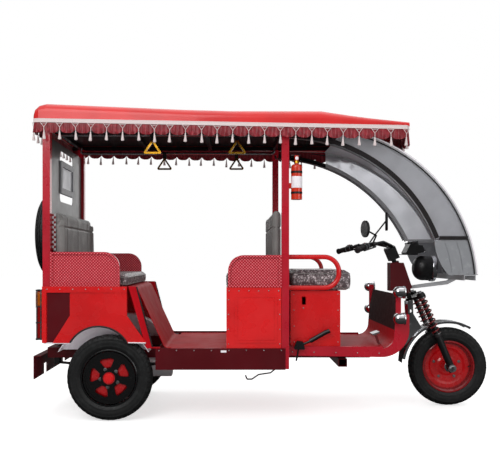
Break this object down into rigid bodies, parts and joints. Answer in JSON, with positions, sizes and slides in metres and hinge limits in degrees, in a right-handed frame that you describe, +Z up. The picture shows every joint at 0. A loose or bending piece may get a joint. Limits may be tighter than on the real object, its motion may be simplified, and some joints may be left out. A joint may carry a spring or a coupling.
{
  "type": "electric passenger rickshaw",
  "caption": "Three-wheeled electric passenger rickshaw with open sides, canopy roof with valance, curved windscreen, facing bench seats and steered front fork.",
  "frame": {"origin": "on the ground, on the centre plane, midway along the overall length", "axes": "+X forward, +Y to the vehicle's left, +Z up"},
  "size_m": [2.7903, 1, 1.804],
  "materials": {
    "red_paint": "gloss",
    "maroon_paint": "satin",
    "black_paint": "satin",
    "canopy_red": "smooth",
    "valance_cloth": "satin",
    "seat_cover": "patterned vinyl",
    "back_cover": "quilted vinyl",
    "chrome": "polished",
    "silver_paint": "satin",
    "brass": "polished",
    "clear_sheet": "clear",
    "grey_moulding": "moulded",
    "black_plastic": "moulded",
    "tyre": "matt",
    "lamp_lens": "moulded",
    "liner_white": "moulded",
    "extinguisher_red": "gloss",
    "spring_red": "gloss"
  },
  "bodies": {
    "chassis": {"arm_panels": "red_paint", "brake_pedal": "silver_paint", "chassis_frame": "maroon_paint", "drive_motor": "silver_paint", "driver_cushion": "seat_cover", "driver_loops": "red_paint", "driver_seat_box": "red_paint", "fire_extinguisher": "extinguisher_red", "floor_pan": "maroon_paint", "front_apron": "maroon_paint", "front_backrest": "back_cover", "front_bench_box": "red_paint", "front_bench_cushion": "seat_cover", "front_floor_sides": "red_paint", "front_lamps": "chrome", "grab_handles": "brass", "grab_rails": "chrome", "leaf_springs": "black_paint", "parking_brake": "black_paint", "pillars": "red_paint", "rear_axle": "black_paint", "rear_backrest": "back_cover", "rear_bumper": "maroon_paint", "rear_cushion": "seat_cover", "rear_seat_base": "red_paint", "rear_side_panels": "red_paint", "rear_wall": "maroon_paint", "rear_window": "grey_moulding", "rear_window_pane": "black_plastic", "roof_frame": "black_paint", "roof_shell": "canopy_red", "seat_risers": "red_paint", "sills": "maroon_paint", "spare_rim": "black_paint", "spare_tyre": "tyre", "steering_head": "maroon_paint", "tail_lamps": "lamp_lens", "valance": "valance_cloth", "wheel_arch_liners": "liner_white", "windscreen_beam": "silver_paint", "windscreen_frame": "silver_paint", "windscreen_glass": "clear_sheet", "windscreen_lower": "grey_moulding"},
    "steering": {"front_fork": "black_paint", "fork_springs": "spring_red", "front_fender": "chrome", "handlebar": "black_paint", "hand_grips": "black_plastic", "headlamp": "black_plastic", "instrument_cluster": "black_plastic", "mirrors": "black_plastic"},
    "front_wheel": {"front_tyre": "tyre", "front_rim": "red_paint"},
    "rear_wheel_right": {"rear_right_tyre": "tyre", "rear_right_rim": "red_paint", "rear_right_cover": "black_paint"},
    "rear_wheel_left": {"rear_left_tyre": "tyre", "rear_left_rim": "red_paint", "rear_left_cover": "black_paint"}
  },
  "joints": [
    {"name": "steer", "type": "hinge", "parent": "chassis", "child": "steering", "pos_m": [0.8615, 0, 0.8], "axis": [-0.3891, 0, 0.9212], "range_deg": [-38, 38]},
    {"name": "front_wheel_spin", "type": "hinge", "parent": "steering", "child": "front_wheel", "pos_m": [1.15, 0, 0.245], "axis": [0, 1, 0], "continuous": true},
    {"name": "rear_wheel_right_spin", "type": "hinge", "parent": "chassis", "child": "rear_wheel_right", "pos_m": [-0.905, -0.42, 0.245], "axis": [0, 1, 0], "continuous": true},
    {"name": "rear_wheel_left_spin", "type": "hinge", "parent": "chassis", "child": "rear_wheel_left", "pos_m": [-0.905, 0.42, 0.245], "axis": [0, 1, 0], "continuous": true}
  ]
}
